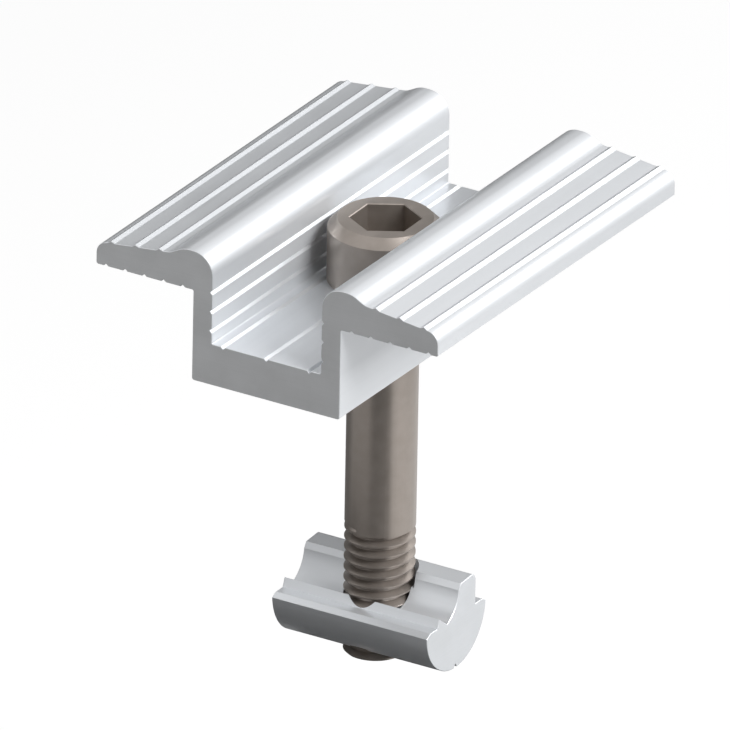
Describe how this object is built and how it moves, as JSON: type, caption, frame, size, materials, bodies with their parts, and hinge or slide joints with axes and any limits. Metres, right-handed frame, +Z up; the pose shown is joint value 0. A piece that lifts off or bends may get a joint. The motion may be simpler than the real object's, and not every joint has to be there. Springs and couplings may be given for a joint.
{
  "type": "solar panel clamp",
  "caption": "Extruded channel with side wings that rest on panel frames, drawn down by a hexagon-socket screw through its floor into a fluted half-round slide nut.",
  "frame": {"origin": "on the screw's axis, in the plane of the wings' undersides, which rest on the panel frames", "axes": "+Z up along the screw, away from the rail; +X across the wings and along the rail; +Y along the extrusion"},
  "size_m": [0.0446, 0.0506, 0.0562],
  "materials": {
    "clamp_aluminium": "satin mill finish with fine extrusion lines",
    "screw_steel": "warm grey stainless steel, satin",
    "nut_aluminium": "satin mill finish with fine extrusion lines"
  },
  "bodies": {
    "clamp": {"clamp_profile": "clamp_aluminium"},
    "screw": {"clamp_screw": "screw_steel"},
    "nut": {"slide_nut": "nut_aluminium"}
  },
  "joints": [
    {"name": "screw_turn", "type": "hinge", "parent": "clamp", "child": "screw", "pos_m": [0, 0, 0], "axis": [0, 0, -1], "range_deg": [0, 2520]},
    {"name": "nut_travel", "type": "slide", "parent": "clamp", "child": "nut", "axis": [0, 0, 1], "range_m": [0, 0.00876]}
  ],
  "couplings": [
    {"joint": "nut_travel", "follows": "screw_turn", "m_per_rad": 0.00019894}
  ]
}
